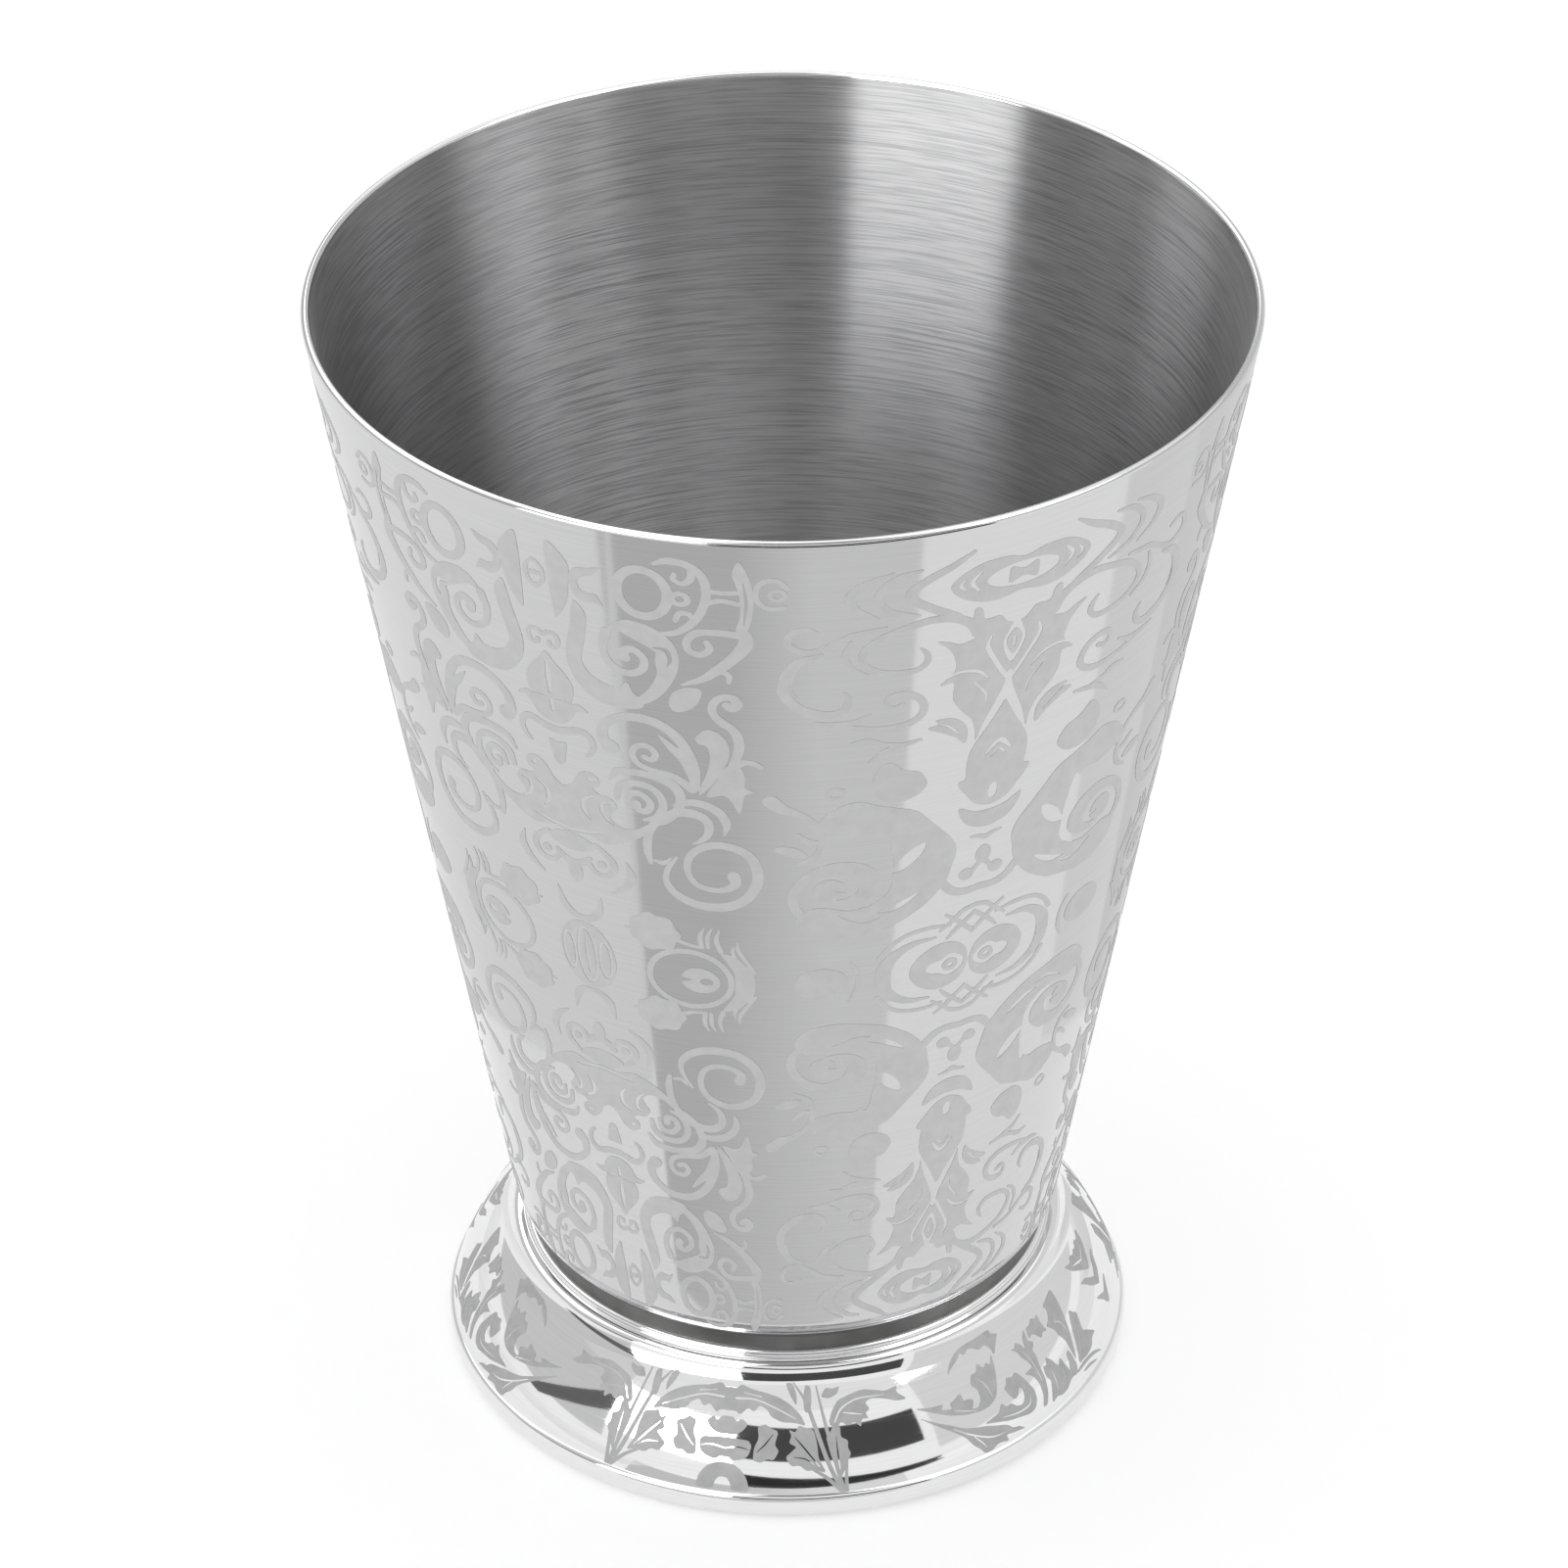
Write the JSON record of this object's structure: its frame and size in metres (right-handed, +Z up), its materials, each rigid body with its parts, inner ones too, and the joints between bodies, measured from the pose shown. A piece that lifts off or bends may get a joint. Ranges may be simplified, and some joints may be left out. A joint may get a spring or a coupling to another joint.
{
  "type": "footed julep cup",
  "caption": "Tapered stainless steel julep cup with a rounded rim, an etched scroll-work wall and a brushed inside, brazed onto a low hollow pedestal foot.",
  "frame": {"origin": "centre of the ring that the foot stands on, in the plane of the table", "axes": "+Z up along the cup's axis, out of its mouth; the shape is turned about +Z"},
  "size_m": [0.088, 0.088, 0.117],
  "materials": {
    "cup_steel": "polished outside with frosted etched scroll-work, brushed round the inside",
    "foot_steel": "mirror polished with frosted etched leaf sprays",
    "braze_alloy": "matt filler metal, as it sets"
  },
  "bodies": {
    "root": {"cup_body": "cup_steel", "pedestal_foot": "foot_steel", "braze_ring": "braze_alloy"}
  },
  "joints": []
}
